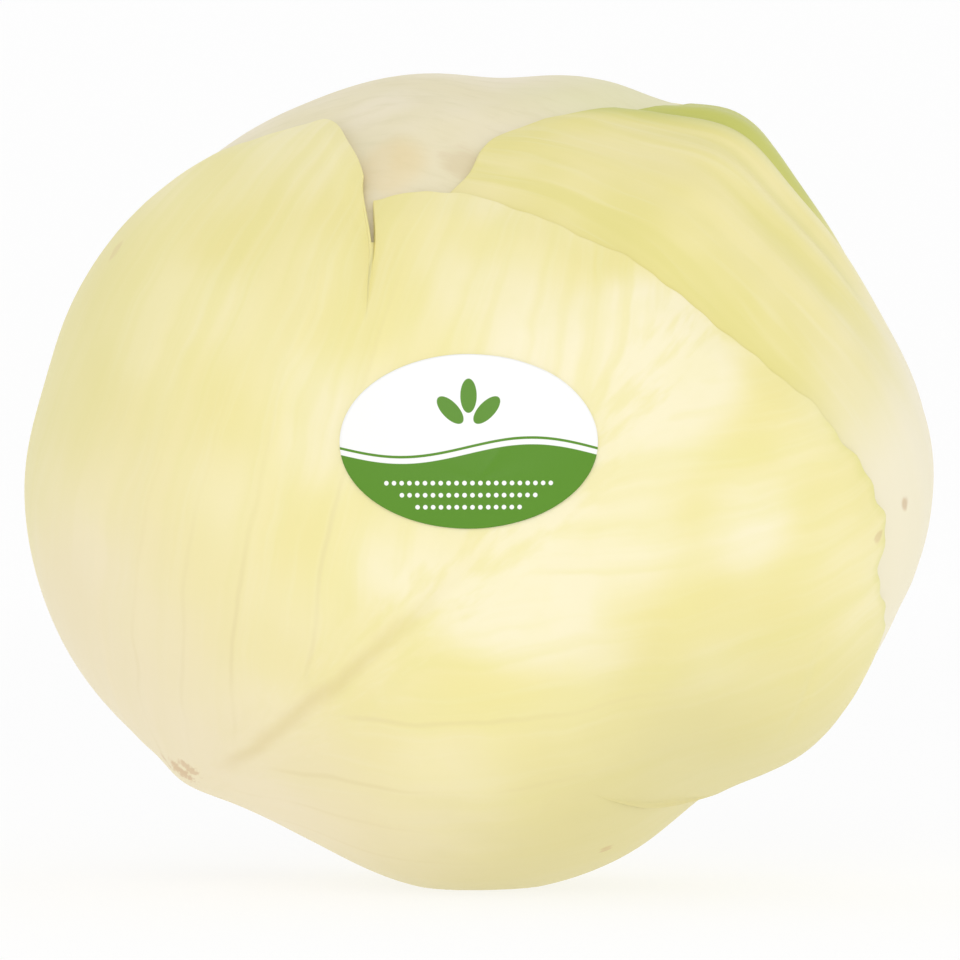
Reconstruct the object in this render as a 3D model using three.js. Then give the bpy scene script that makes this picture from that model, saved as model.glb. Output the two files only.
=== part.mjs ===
// White cabbage: a tight heart on a cut stem, wrapped by six outer leaves, with an oval paper label.
// Millimetres, +Z up. The cabbage rests on a small flat spot at z = 0, centred under its box.
import * as THREE from 'three';

// ---- Driving dimensions ----------------------------------------------------------------------
const HALF_WIDTH = 80.8;          // centre to side, along X
const HALF_DEPTH = 74.2;          // centre to front, along Y
const HALF_HEIGHT = 71.9;         // centre to top, along Z
const FOOT_DROP = 71.6;           // centre down to the flat spot
const FOOT_SWELL = 0.019;         // how far the round underside would reach past the flat spot
const FOOT_SPREAD = 20;           // degrees over which that swell fades
const CENTRE = new THREE.Vector3(0, 0.3, FOOT_DROP);

const LEAF_THICKNESS = 1.0;
const LAYER_STEP = 1.9;           // thickness of a leaf and the air under it
const TUCK_WIDTH = 14;            // degrees over which the layer below rises again past a margin
const HEART_GAP = 1.2;
const HEART_RINGS = 20;
const HEART_SECTORS = 30;
const SOCKET_GAP = 0.6;           // between the heart and the inner end of the stub
const SOCKET_ANGLE = 18;          // degrees from the stem over which the heart is hollowed for it

const STEM_AZIMUTH = 222;         // degrees in the X-Z plane, from +X towards +Z
const STEM_TILT = 25;             // degrees that the stem leans towards +Y
const STEM_DIMPLE = 0.085;        // hollow around the stem, as a share of the radius
const DIMPLE_SPREAD = 11;         // degrees over which that hollow fades
const STUB_RADIUS = 13.0;
const STUB_INNER = 56.5;          // distances from the centre to the ends of the stub
const STUB_OUTER = 72.0;
const STUB_SECTORS = 24;

const LABEL_HALF_WIDTH = 21.9;
const LABEL_HALF_HEIGHT = 14.6;
const LABEL_THICKNESS = 0.3;
const LABEL_GAP = 0.3;
const LABEL_DIRECTION = [-0.023, -0.995, 0.087];
const LABEL_SECTORS = 30;
const LABEL_RINGS = [0.35, 0.7, 1]; // shares of the half sizes

// Swells and hollows of the whole head: [azimuth in the X-Z plane, spread along it, height],
// degrees and share of the radius. Each fades out towards the front and the back.
const SWELLS = [
  [24, 10, -0.030], [54, 6.5, 0.067], [72, 8, 0.020], [87, 5, -0.016], [102, 8, 0.010],
  [144, 6, 0.006], [167, 8, -0.018], [222, 12, -0.018], [242, 10, -0.047], [291, 8, -0.018],
  [306, 8, -0.073], [341, 9, -0.021],
];
const SWELL_DEPTH = 32;           // degrees towards the front or back over which a swell fades

const rad = THREE.MathUtils.degToRad;
const deg = THREE.MathUtils.radToDeg;

const STEM = new THREE.Vector3(
  Math.cos(rad(STEM_TILT)) * Math.cos(rad(STEM_AZIMUTH)),
  Math.sin(rad(STEM_TILT)),
  Math.cos(rad(STEM_TILT)) * Math.sin(rad(STEM_AZIMUTH)),
);
const CROWN = STEM.clone().negate();
const FRONT = new THREE.Vector3(0, -1, 0).projectOnPlane(CROWN).normalize();
const SIDE = new THREE.Vector3().crossVectors(CROWN, FRONT);

const bell = (x) => Math.exp(-0.5 * x * x);
const wrap = (angle) => THREE.MathUtils.euclideanModulo(angle + 180, 360) - 180;

// Distance from the centre to the outside of the wrapped head along a unit direction.
function headRadius(d) {
  const egg = 1 / Math.hypot(d.x / HALF_WIDTH, d.y / HALF_DEPTH, d.z / HALF_HEIGHT);
  const azimuth = deg(Math.atan2(d.z, d.x));
  const lean = deg(Math.asin(THREE.MathUtils.clamp(d.y, -1, 1)));
  let share = 1 + FOOT_SWELL * bell(wrap(azimuth - 270) / FOOT_SPREAD) * bell(lean / SWELL_DEPTH);
  for (const [at, spread, height] of SWELLS) {
    share += height * bell(wrap(azimuth - at) / spread) * bell(lean / SWELL_DEPTH);
  }
  share -= STEM_DIMPLE * bell(deg(d.angleTo(STEM)) / DIMPLE_SPREAD);
  const round = egg * share;
  const toFoot = d.z < -0.5 ? FOOT_DROP / -d.z : Infinity;
  return Math.min(round, toFoot);
}

// ---- Leaves ----------------------------------------------------------------------------------
// A leaf is drawn on the head about its own middle point: `turn` is its midrib's place around
// the stem, `reach` the angle from the stem to its middle, and `outline` lists [angle from the
// midrib, distance to the margin], all in degrees. The base is at 180. A slit is a tear in from
// the margin: [angle, half width, depth, lift of the lip before it, lift of the lip after it].
// The order is from the heart outwards.
const LEAVES = [
  {
    name: 'crown_leaf', turn: -105, reach: 95, rings: 7, sectors: 48, slits: [],
    colour: 0xefe8c8,
    outline: [[-168, 86], [-150, 84], [-125, 80], [-100, 78], [-75, 76], [-45, 80], [-15, 82],
      [15, 80], [45, 74], [75, 72], [100, 76], [125, 80], [150, 84], [168, 86], [180, 82]],
  },
  {
    name: 'right_leaf', turn: 115, reach: 120, rings: 11, sectors: 48, slits: [],
    colour: 0xebe7b4,
    outline: [[-168, 111], [-150, 104], [-120, 80], [-90, 68], [-60, 64], [-35, 66], [-20, 73],
      [-12, 82], [-6, 91], [0, 99], [8, 103], [16, 107], [30, 104], [50, 90], [75, 72],
      [100, 68], [125, 82], [150, 102], [168, 111], [180, 107]],
  },
  {
    name: 'under_leaf', turn: 62, reach: 66, rings: 8, sectors: 44, slits: [],
    colour: 0xebe4b8,
    outline: [[-160, 58], [-130, 60], [-100, 56], [-65, 52], [-30, 50], [0, 52], [35, 50],
      [70, 54], [100, 57], [130, 60], [160, 58], [180, 53]],
  },
  {
    name: 'left_leaf', turn: -110, reach: 48, rings: 7, sectors: 42, slits: [],
    colour: 0xece6bd,
    outline: [[-160, 42], [-130, 43], [-100, 41], [-65, 38], [-40, 37], [-12, 40], [15, 44],
      [45, 46], [75, 46], [105, 44], [135, 44], [160, 42], [180, 36]],
  },
  {
    name: 'back_leaf', turn: 188, reach: 84, rings: 7, sectors: 46, slits: [[38, 1.8, 9, 0.2, 0.8]],
    colour: 0xe9e5b2,
    outline: [[-165, 75], [-140, 72], [-110, 62], [-80, 58], [-50, 62], [-20, 66], [10, 68],
      [40, 65], [70, 60], [100, 58], [125, 62], [145, 72], [165, 75], [180, 71]],
  },
  {
    name: 'front_leaf', turn: 8, reach: 90, rings: 9, sectors: 60,
    slits: [[53.2, 2.4, 11, 0.1, 2.0], [-90.5, 1.6, 14, 0.0, 1.2]],
    colour: 0xf1ecc0,
    outline: [[-168, 80], [-155, 86], [-140, 90], [-122, 91], [-105, 83], [-90, 73], [-76, 80],
      [-62, 85], [-55, 79], [-46, 75], [-40, 76], [-33, 73], [-22, 69.5], [-6, 64.5], [10, 63],
      [26, 63], [38, 65.3], [46, 65], [53, 65.5], [58, 74], [62, 81], [66, 85], [74, 84],
      [86, 83.5], [97, 80], [112, 85], [130, 89], [150, 88], [166, 80], [180, 78]],
  },
];

// The leaf's middle, the way along its midrib, and the way across it.
function leafAxes(leaf) {
  const outward = FRONT.clone().multiplyScalar(Math.cos(rad(leaf.turn)));
  outward.addScaledVector(SIDE, Math.sin(rad(leaf.turn)));
  const reach = rad(leaf.reach);
  const middle = STEM.clone().multiplyScalar(Math.cos(reach)).addScaledVector(outward, Math.sin(reach));
  const along = outward.multiplyScalar(Math.cos(reach)).addScaledVector(STEM, -Math.sin(reach));
  return { middle, along, across: new THREE.Vector3().crossVectors(middle, along) };
}
for (const leaf of LEAVES) Object.assign(leaf, leafAxes(leaf));

// Distance from the leaf's middle to its margin: a smooth closed curve through the outline.
function marginAt(leaf, angle) {
  const points = leaf.outline;
  const count = points.length;
  let a = wrap(angle);
  if (a < points[0][0]) a += 360;
  let i = points.findLastIndex((point) => point[0] <= a);
  const knot = (k) => {
    const turns = Math.floor(k / count);
    const [at, distance] = points[k - turns * count];
    return [at + 360 * turns, distance];
  };
  const [before, start, end, after] = [knot(i - 1), knot(i), knot(i + 1), knot(i + 2)];
  const span = end[0] - start[0];
  const t = (a - start[0]) / span;
  const slopeStart = ((end[1] - before[1]) / (end[0] - before[0])) * span;
  const slopeEnd = ((after[1] - start[1]) / (after[0] - start[0])) * span;
  return start[1] * (2 * t ** 3 - 3 * t ** 2 + 1) + slopeStart * (t ** 3 - 2 * t ** 2 + t)
    + end[1] * (3 * t ** 2 - 2 * t ** 3) + slopeEnd * (t ** 3 - t ** 2);
}

// Distance from the leaf's middle at a share of the way to the margin. Slits cut the margin back,
// and draw the rings in over twice their depth.
function distanceAt(leaf, angle, share) {
  const margin = marginAt(leaf, angle);
  let distance = share * margin;
  for (const [at, halfWidth, cut] of leaf.slits) {
    const depth = cut * Math.max(0, 1 - Math.abs(wrap(angle - at)) / halfWidth);
    distance -= depth * Math.max(0, 1 - ((1 - share) * margin) / (2 * cut));
  }
  return distance;
}

// 1 where a leaf covers a direction, easing to 0 past its margin.
function cover(leaf, d) {
  const away = deg(d.angleTo(leaf.middle));
  const angle = deg(Math.atan2(d.dot(leaf.across), d.dot(leaf.along)));
  const t = THREE.MathUtils.clamp((away - marginAt(leaf, angle)) / TUCK_WIDTH, 0, 1);
  return 1 - t * t * (3 - 2 * t);
}

// How far the leaves from number `first` outwards press the layer below in, and how open it is.
function layersAbove(first, d) {
  let depth = 0;
  let open = 1;
  for (let k = first; k < LEAVES.length; k += 1) {
    const covered = cover(LEAVES[k], d);
    depth += LAYER_STEP * covered;
    open *= 1 - covered;
  }
  return { depth, open };
}

// Lift of the torn lips: each side of a slit stands up near the cut and settles away from it.
const LIP_SPREAD = 7.5;           // degrees aside over which a lip settles
const LIP_START = 1.4;            // depths of the slit in from the margin where a lip starts to rise
function lipLift(leaf, angle, distance) {
  const margin = marginAt(leaf, angle);
  let lift = 0;
  for (const [at, halfWidth, cut, before, after] of leaf.slits) {
    const side = wrap(angle - at);
    const height = side > 0 ? after : before;
    const aside = Math.max(0, Math.abs(side) - halfWidth) / LIP_SPREAD;
    const outwards = THREE.MathUtils.smoothstep(distance, margin - cut * LIP_START, margin);
    lift += height * bell(aside) * outwards;
  }
  return lift;
}

const pointAlong = (d, distance) => d.clone().multiplyScalar(distance).add(CENTRE);

// One closed skin: a start point, rings of equal length around it, and an end point.
function closedSkin(start, rings, end) {
  const sectors = rings[0].length;
  const corners = [start, ...rings.flat(), end];
  const last = corners.length - 1;
  const faces = [];
  for (let j = 0; j < sectors; j += 1) {
    const next = (j + 1) % sectors;
    faces.push(0, 1 + j, 1 + next);
    for (let i = 0; i + 1 < rings.length; i += 1) {
      const here = 1 + i * sectors;
      const there = here + sectors;
      faces.push(here + j, there + j, there + next, here + j, there + next, here + next);
    }
    const rim = 1 + (rings.length - 1) * sectors;
    faces.push(rim + j, last, rim + next);
  }
  const geometry = new THREE.BufferGeometry();
  const flat = corners.flatMap((p) => [p.x, p.y, Math.abs(p.z) < 1e-6 ? 0 : p.z]);
  geometry.setAttribute('position', new THREE.Float32BufferAttribute(flat, 3));
  geometry.setIndex(faces);
  geometry.computeVertexNormals();
  return geometry;
}

// Sector angles: even, with each slit's two edges and its bottom put in.
function sectorAngles(leaf) {
  const step = 360 / leaf.sectors;
  const even = Array.from({ length: leaf.sectors }, (_, j) => -180 + step * j);
  const clear = even.filter((a) => leaf.slits.every(([at, w]) => Math.abs(wrap(a - at)) > w + 1));
  const edges = leaf.slits.flatMap(([at, w]) => [at - w, at, at + w]);
  return [...clear, ...edges].sort((a, b) => a - b);
}

function leafGeometry(index) {
  const leaf = LEAVES[index];
  const angles = sectorAngles(leaf);
  const shares = Array.from({ length: leaf.rings }, (_, i) => (i + 1) / leaf.rings);
  const place = (angle, share, below) => {
    const distance = distanceAt(leaf, angle, share);
    const away = rad(distance);
    const heading = leaf.along.clone().multiplyScalar(Math.cos(rad(angle)));
    heading.addScaledVector(leaf.across, Math.sin(rad(angle)));
    const d = leaf.middle.clone().multiplyScalar(Math.cos(away)).addScaledVector(heading, Math.sin(away));
    const { depth, open } = layersAbove(index + 1, d);
    const lift = lipLift(leaf, angle, distance) * open;
    return pointAlong(d, headRadius(d) - depth + lift - below);
  };
  const ring = (share, below) => angles.map((angle) => place(angle, share, below));
  const outer = shares.map((share) => ring(share, 0));
  const inner = shares.map((share) => ring(share, LEAF_THICKNESS)).reverse();
  return closedSkin(place(0, 0, 0), [...outer, ...inner], place(0, 0, LEAF_THICKNESS));
}

// ---- Heart -----------------------------------------------------------------------------------
// The solid ball of young leaves inside the wrapper leaves, with its axis along the stem.
function heartGeometry() {
  const place = (polar, turn) => {
    const outward = FRONT.clone().multiplyScalar(Math.cos(turn)).addScaledVector(SIDE, Math.sin(turn));
    const d = CROWN.clone().multiplyScalar(Math.cos(polar)).addScaledVector(outward, Math.sin(polar));
    const { depth } = layersAbove(0, d);
    const socket = STUB_INNER - SOCKET_GAP + Math.max(0, deg(d.angleTo(STEM)) - SOCKET_ANGLE);
    return pointAlong(d, Math.min(headRadius(d) - depth - HEART_GAP, socket));
  };
  const grid = Array.from({ length: HEART_RINGS - 1 }, (_, i) => Array.from({ length: HEART_SECTORS },
    (__, j) => place((Math.PI * (i + 1)) / HEART_RINGS, (2 * Math.PI * j) / HEART_SECTORS)));
  return closedSkin(place(0, 0), grid, place(Math.PI, 0));
}

// ---- Stem stub -------------------------------------------------------------------------------
// A short round stump from the hollow of the heart out to the knife cut. Its profile is listed as
// [distance from the centre, share of the radius].
function stubGeometry() {
  const profile = [[STUB_INNER, 0.5], [STUB_INNER, 0.93], [STUB_INNER + 1.5, 1], [STUB_OUTER - 2.0, 1],
    [STUB_OUTER - 0.6, 0.95], [STUB_OUTER, 0.85], [STUB_OUTER - 0.4, 0.4]];
  const centreLine = (distance) => CENTRE.clone().addScaledVector(STEM, distance);
  const rings = profile.map(([distance, share]) => Array.from({ length: STUB_SECTORS }, (_, j) => {
    const turn = (2 * Math.PI * j) / STUB_SECTORS;
    return centreLine(distance).addScaledVector(FRONT, Math.cos(turn) * STUB_RADIUS * share)
      .addScaledVector(SIDE, Math.sin(turn) * STUB_RADIUS * share);
  }));
  return closedSkin(centreLine(STUB_INNER), rings, centreLine(STUB_OUTER - 0.5));
}

// ---- Label -----------------------------------------------------------------------------------
// An oval sticker that follows the front leaf's curve, held off it by a hair.
function labelGeometry() {
  const middle = new THREE.Vector3(...LABEL_DIRECTION).normalize();
  const right = new THREE.Vector3(1, 0, 0).projectOnPlane(middle).normalize();
  const up = new THREE.Vector3().crossVectors(middle, right);
  const reach = headRadius(middle);
  const place = (turn, share, height) => {
    const d = middle.clone().addScaledVector(right, (share * LABEL_HALF_WIDTH * Math.cos(turn)) / reach);
    d.addScaledVector(up, (share * LABEL_HALF_HEIGHT * Math.sin(turn)) / reach).normalize();
    return pointAlong(d, headRadius(d) + height);
  };
  const ring = (share, height) => Array.from({ length: LABEL_SECTORS },
    (_, j) => place((2 * Math.PI * j) / LABEL_SECTORS, share, height));
  const top = LABEL_GAP + LABEL_THICKNESS;
  const outer = LABEL_RINGS.map((share) => ring(share, top));
  const inner = LABEL_RINGS.map((share) => ring(share, LABEL_GAP)).reverse();
  return closedSkin(place(0, 0, top), [...outer, ...inner], place(0, 0, LABEL_GAP));
}

// ---- Assembly --------------------------------------------------------------------------------
function piece(name, geometry, color, roughness) {
  const mesh = new THREE.Mesh(geometry, new THREE.MeshStandardMaterial({ color, roughness }));
  mesh.name = name;
  return mesh;
}

const cabbage = new THREE.Group();
cabbage.add(piece('heart', heartGeometry(), 0xf3efcf, 0.55));
cabbage.add(piece('stem_stub', stubGeometry(), 0xe6dcb4, 0.7));
LEAVES.forEach((leaf, index) => {
  cabbage.add(piece(leaf.name, leafGeometry(index), leaf.colour, 0.45));
});
cabbage.add(piece('paper_label', labelGeometry(), 0x5b9420, 0.4));

export default cabbage;
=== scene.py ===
import bpy
import numpy as np
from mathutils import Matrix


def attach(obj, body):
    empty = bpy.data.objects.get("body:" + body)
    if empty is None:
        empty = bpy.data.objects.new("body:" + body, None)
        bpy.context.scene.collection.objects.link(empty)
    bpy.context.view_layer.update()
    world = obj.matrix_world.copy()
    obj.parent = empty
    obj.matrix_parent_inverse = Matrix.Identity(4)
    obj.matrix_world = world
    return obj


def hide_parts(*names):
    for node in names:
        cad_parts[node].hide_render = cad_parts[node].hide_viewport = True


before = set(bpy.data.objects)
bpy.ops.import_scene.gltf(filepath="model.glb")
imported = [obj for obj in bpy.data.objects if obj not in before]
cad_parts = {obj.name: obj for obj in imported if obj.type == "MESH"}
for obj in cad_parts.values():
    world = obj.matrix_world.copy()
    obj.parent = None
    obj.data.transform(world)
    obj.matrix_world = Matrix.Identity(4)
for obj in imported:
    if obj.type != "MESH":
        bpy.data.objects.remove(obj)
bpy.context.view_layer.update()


# ---- Studio ------------------------------------------------------------------------------------
# A white paper sweep under and all round the cabbage, a white room for fill, a large soft lamp above
# the camera and a weaker one from the right, and a long lens level with the middle of the head.

MM = 0.001


class Wire:
    """A socket of a material's node tree. Arithmetic on it adds Math nodes to the tree."""

    def __init__(self, tree, socket=None):
        self.tree = tree
        self.socket = socket

    def node(self, kind, settings=None, sockets=None, out=0):
        """Any node: its settings are set first, then its sockets are given values or links."""
        made = self.tree.nodes.new(kind)
        for name, value in (settings or {}).items():
            setattr(made, name, value)
        for name, value in (sockets or {}).items():
            if isinstance(value, Wire):
                self.tree.links.new(value.socket, made.inputs[name])
            elif isinstance(value, tuple) and made.inputs[name].type == "RGBA":
                made.inputs[name].default_value = (*value[:3], 1.0)
            else:
                made.inputs[name].default_value = value
        return Wire(self.tree, made.outputs[out]) if len(made.outputs) else None

    def maths(self, operation, *others):
        """A Math node's operation on this wire and up to two other wires or numbers."""
        return self.node("ShaderNodeMath", {"operation": operation}, dict(enumerate((self, *others))))

    def __add__(self, other):
        return self.maths("ADD", other)

    __radd__ = __add__

    def __sub__(self, other):
        return self.maths("SUBTRACT", other)

    def __rsub__(self, other):
        return (self * -1.0) + other

    def __mul__(self, other):
        return self.maths("MULTIPLY", other)

    __rmul__ = __mul__

    def __truediv__(self, other):
        return self.maths("DIVIDE", other)

    def __pow__(self, other):
        return self.maths("POWER", other)

    def ease(self, low, high):
        """0 below low, 1 above high, and a smooth step between; high under low runs it backwards."""
        ends = {"Value": self, "From Min": low, "From Max": high}
        return self.node("ShaderNodeMapRange", {"interpolation_type": "SMOOTHSTEP"}, ends)

    def mix(self, start, end):
        """The colour start where this wire is 0 and end where it is 1."""
        return self.node("ShaderNodeMix", {"data_type": "RGBA"}, {0: self, 6: start, 7: end}, out=2)

    def noise(self, size, detail=2.0, roughness=0.5):
        """Cloudy noise of a given feature size along this vector."""
        sockets = {"Vector": self, "Scale": 1.0 / size, "Detail": detail, "Roughness": roughness}
        return self.node("ShaderNodeTexNoise", {}, sockets)

    def stretch(self, factors):
        """This vector with each axis multiplied by its factor."""
        return self.node("ShaderNodeMapping", {}, {"Vector": self, "Scale": factors})


def shade(red, green, blue):
    """A display colour, each part 0 to 255, as linear light."""
    part = np.array([red, green, blue]) / 255
    linear = np.where(part <= 0.04045, part / 12.92, ((part + 0.055) / 1.055) ** 2.4)
    return tuple(float(value) for value in linear)


def new_material(name):
    """An empty node material and a wire to start building from."""
    material = bpy.data.materials.new(name)
    material.use_nodes = True
    material.node_tree.nodes.clear()
    return material, Wire(material.node_tree)


def finish_material(wire, surface):
    """The material ends in this surface shader."""
    wire.node("ShaderNodeOutputMaterial", {}, {"Surface": surface})


def grid_mesh(name, points, poles):
    """A mesh of quads over a grid of points, rows by columns by 3, in metres. The columns join up
    in a loop, and each pole that isn't None closes the first or the last row to a point."""
    rows, columns = points.shape[:2]
    i, j = np.meshgrid(np.arange(rows - 1), np.arange(columns), indexing="ij")
    step = (j + 1) % columns
    quads = np.stack([i * columns + j, (i + 1) * columns + j,
                      (i + 1) * columns + step, i * columns + step], axis=-1).reshape(-1, 4)
    corners = [points.reshape(-1, 3)]
    count = rows * columns
    fans = []
    column = np.arange(columns)
    following = (column + 1) % columns
    if poles[0] is not None:
        fans.append(np.stack([np.full(columns, count), column, following], axis=-1))
        corners.append(np.reshape(poles[0], (1, 3)))
        count += 1
    if poles[1] is not None:
        last = (rows - 1) * columns
        fans.append(np.stack([last + column, np.full(columns, count), last + following], axis=-1))
        corners.append(np.reshape(poles[1], (1, 3)))
        count += 1
    triangles = np.concatenate(fans)
    mesh = bpy.data.meshes.new(name)
    mesh.vertices.add(count)
    mesh.vertices.foreach_set("co", np.concatenate(corners).astype(np.float32).ravel())
    loops = np.concatenate([quads.ravel(), triangles.ravel()]).astype(np.int32)
    starts = np.concatenate([np.arange(len(quads)) * 4, len(quads) * 4 + np.arange(len(triangles)) * 3])
    mesh.loops.add(len(loops))
    mesh.loops.foreach_set("vertex_index", loops)
    mesh.polygons.add(len(starts))
    mesh.polygons.foreach_set("loop_start", starts.astype(np.int32))
    mesh.update(calc_edges=True)
    mesh.shade_smooth()
    return mesh


def place_object(name, mesh, material):
    """The mesh as an object at the origin, in the scene, with its material."""
    made = bpy.data.objects.new(name, mesh)
    mesh.materials.append(material)
    bpy.context.scene.collection.objects.link(made)
    return made


# The sweep's paper: its white, the share of it that glows, and how strongly.
STAGE_WHITE = (0.93, 0.93, 0.93)
STAGE_GLOW = 0.7
GLOW_STRENGTH = 1.06
# The sweep in metres: radius of its floor, of the bend up from it, and the wall's height in front
# and how much higher it is at the back.
FLOOR_RADIUS = 2.6
BEND_RADIUS = 0.8
LOW_WALL = 0.2
BACK_WALL = 4.0
SWEEP_SECTORS = 96
BEND_RINGS = 24


def bowl_points():
    """Rings of the sweep: out over a round floor, up a quarter circle, then up a wall that grows
    with the sine of the turn towards the back."""
    quarter = np.linspace(0, np.pi / 2, BEND_RINGS)[1:]
    out = np.concatenate([[FLOOR_RADIUS / 2, FLOOR_RADIUS], FLOOR_RADIUS + BEND_RADIUS * np.sin(quarter),
                          [FLOOR_RADIUS + BEND_RADIUS]])
    up = np.concatenate([[0.0, 0.0], BEND_RADIUS - BEND_RADIUS * np.cos(quarter), [BEND_RADIUS]])
    turn = np.arange(SWEEP_SECTORS) * 2 * np.pi / SWEEP_SECTORS
    z = np.broadcast_to(up[:, None], (len(up), SWEEP_SECTORS)).copy()
    z[-1] += LOW_WALL + BACK_WALL * np.maximum(0, np.sin(turn))
    return np.stack([out[:, None] * np.cos(turn), out[:, None] * np.sin(turn), z], axis=-1)


sweep_white, paper = new_material("sweep_white")
lit = paper.node("ShaderNodeBsdfDiffuse", {}, {"Color": STAGE_WHITE})
glow = paper.node("ShaderNodeEmission", {}, {"Color": (1.0, 1.0, 1.0), "Strength": GLOW_STRENGTH})
finish_material(paper, paper.node("ShaderNodeMixShader", {}, {0: STAGE_GLOW, 1: lit, 2: glow}))
floor_middle = (0.0, 0.0, 0.0)
sweep = place_object("paper_sweep", grid_mesh("paper_sweep", bowl_points(), (floor_middle, None)),
                     sweep_white)

ROOM_LIGHT = 0.74
world = bpy.data.worlds.new("white_room")
world.use_nodes = True
world.node_tree.nodes["Background"].inputs["Color"].default_value = (1.0, 1.0, 1.0, 1.0)
world.node_tree.nodes["Background"].inputs["Strength"].default_value = ROOM_LIGHT
bpy.context.scene.world = world
bpy.context.scene.view_settings.view_transform = "Standard"

HEAD_MIDDLE = np.array([0.0, 0.3, 71.6]) * MM


def soft_lamp(name, place, size, power):
    """A square lamp at a place given from the middle of the head, aimed back at it."""
    lamp = bpy.data.lights.new(name, "AREA")
    lamp.size = size
    lamp.energy = power
    holder = bpy.data.objects.new(name, lamp)
    holder.location = HEAD_MIDDLE + np.array(place)
    aim = -np.array(place)
    heading = np.arctan2(aim[0], -aim[1])
    tilt = np.arctan2(np.hypot(aim[0], aim[1]), -aim[2])
    holder.rotation_euler = (tilt, 0.0, heading + np.pi)
    bpy.context.scene.collection.objects.link(holder)


soft_lamp("front_lamp", (-0.1, -1.2, 0.6), 0.7, 2.8)
soft_lamp("right_lamp", (1.2, -0.6, 0.3), 0.6, 1.0)

# The camera's place in metres from the middle of the head, and its focal length in mm.
CAMERA_PLACE = (0.0002, -1.0, -0.0001)
FOCAL_LENGTH = 212.5
lens = bpy.data.cameras.new("long_lens")
lens.sensor_width = 36.0
lens.lens = FOCAL_LENGTH
lens.clip_start = 0.05
camera = bpy.data.objects.new("camera", lens)
camera.location = HEAD_MIDDLE + np.array(CAMERA_PLACE)
camera.rotation_euler = (np.pi / 2, 0.0, 0.0)
bpy.context.scene.collection.objects.link(camera)
bpy.context.scene.camera = camera


# ---- Heart -------------------------------------------------------------------------------------
# The tight ball of young leaves that the wrapper leaves close over. It is crisp, creamy leaf, packed
# too hard to part, and it grew on the stem, so its low side is hollowed where the stem comes out.

# The head's half sizes in mm, how far its middle is above the foot, and where the stem leaves it in
# degrees: turn around the Y axis from +X to +Z, and tilt towards +Y.
HALF_SIZE = np.array([80.3, 73.1, 71.5])
FOOT_DROP = 71.5
STEM_TURN = 222.0
STEM_TILT = 25.0
HEART_AIR = 0.35
# The socket round the stub: its radius at the stub, and how fast it rises past an angle from it.
SOCKET_FLOOR = 55.8
SOCKET_SLOPE = 12.0
SOCKET_ANGLE = 14.4
# Swells of the whole head: turn around the Y axis, spread, share of the radius.
SWELLS = [
    (24, 10, -0.030), (54, 6.5, 0.067), (72, 8, 0.020), (87, 5, -0.016), (102, 8, 0.010),
    (144, 6, 0.006), (167, 8, -0.018), (222, 12, -0.018), (242, 10, -0.047), (291, 8, -0.018),
    (306, 8, -0.073), (341, 9, -0.021),
]
SWELL_FADE = 32.0
FOOT_SWELL = (270, 20, 0.019)
# The dimple at the stem: spread in degrees and depth as a share of the radius.
DIMPLE_SPREAD = 11.0
DIMPLE_DEPTH = 0.085


def bell(x):
    """A smooth hump: e to the power of minus half of x squared."""
    return np.exp(-0.5 * np.square(x))


def wrap(angle):
    """The same angle between -180 and 180 degrees."""
    return (angle + 180.0) % 360.0 - 180.0


def ease(x, low, high):
    """0 up to low, 1 from high, and 3t^2 - 2t^3 between."""
    t = np.clip((x - low) / (high - low), 0.0, 1.0)
    return t * t * (3.0 - 2.0 * t)


def unit(vectors):
    """The vectors, each made one long."""
    return vectors / np.linalg.norm(vectors, axis=-1, keepdims=True)


def angle_to(directions, axis):
    """Degrees between each unit direction and an axis."""
    return np.degrees(np.arccos(np.clip(directions @ axis, -1.0, 1.0)))


STEM = np.array([
    np.cos(np.radians(STEM_TILT)) * np.cos(np.radians(STEM_TURN)),
    np.sin(np.radians(STEM_TILT)),
    np.cos(np.radians(STEM_TILT)) * np.sin(np.radians(STEM_TURN)),
])
CROWN = -STEM
FRONT = unit(np.array([0.0, -1.0, 0.0]) - CROWN * np.dot([0.0, -1.0, 0.0], CROWN))
SIDE = np.cross(CROWN, FRONT)


def head_radius(d):
    """Millimetres from the middle of the head to its outside along unit directions d: an egg of
    three half sizes, times one plus the swells, less the dimple at the stem, cut flat at the foot."""
    egg = 1.0 / np.linalg.norm(d / HALF_SIZE, axis=-1)
    turn = np.degrees(np.arctan2(d[..., 2], d[..., 0]))
    lean = np.degrees(np.arcsin(np.clip(d[..., 1], -1.0, 1.0)))
    share = 1.0 - DIMPLE_DEPTH * bell(angle_to(d, STEM) / DIMPLE_SPREAD)
    for at, spread, height in [*SWELLS, FOOT_SWELL]:
        share = share + height * bell(wrap(turn - at) / spread) * bell(lean / SWELL_FADE)
    to_foot = np.where(d[..., 2] < -0.5, FOOT_DROP / np.maximum(-d[..., 2], 0.5), np.inf)
    return np.minimum(egg * share, to_foot)


def to_place(d, distance):
    """Unit directions times millimetres from the middle of the head, as points in metres."""
    return d * distance[..., None] * MM + HEAD_MIDDLE


def polar_directions(middle, along, across, angle, distance):
    """Unit directions at an angle around a middle and a distance from it, both in degrees."""
    heading = np.cos(np.radians(angle))[..., None] * along + np.sin(np.radians(angle))[..., None] * across
    away = np.radians(distance)[..., None]
    return np.cos(away) * middle + np.sin(away) * heading


# Every wrapper leaf, in mm: its thickness, and how far it presses in what is under it. Past its
# margin the press fades over TUCK_WIDTH degrees, and its base clasps the stub CLASP_ANGLE degrees
# from the stem's axis.
LEAF_THICKNESS = 0.95
LAYER_STEP = 1.25
TUCK_WIDTH = 14.0
CLASP_ANGLE = 13.1
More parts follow.
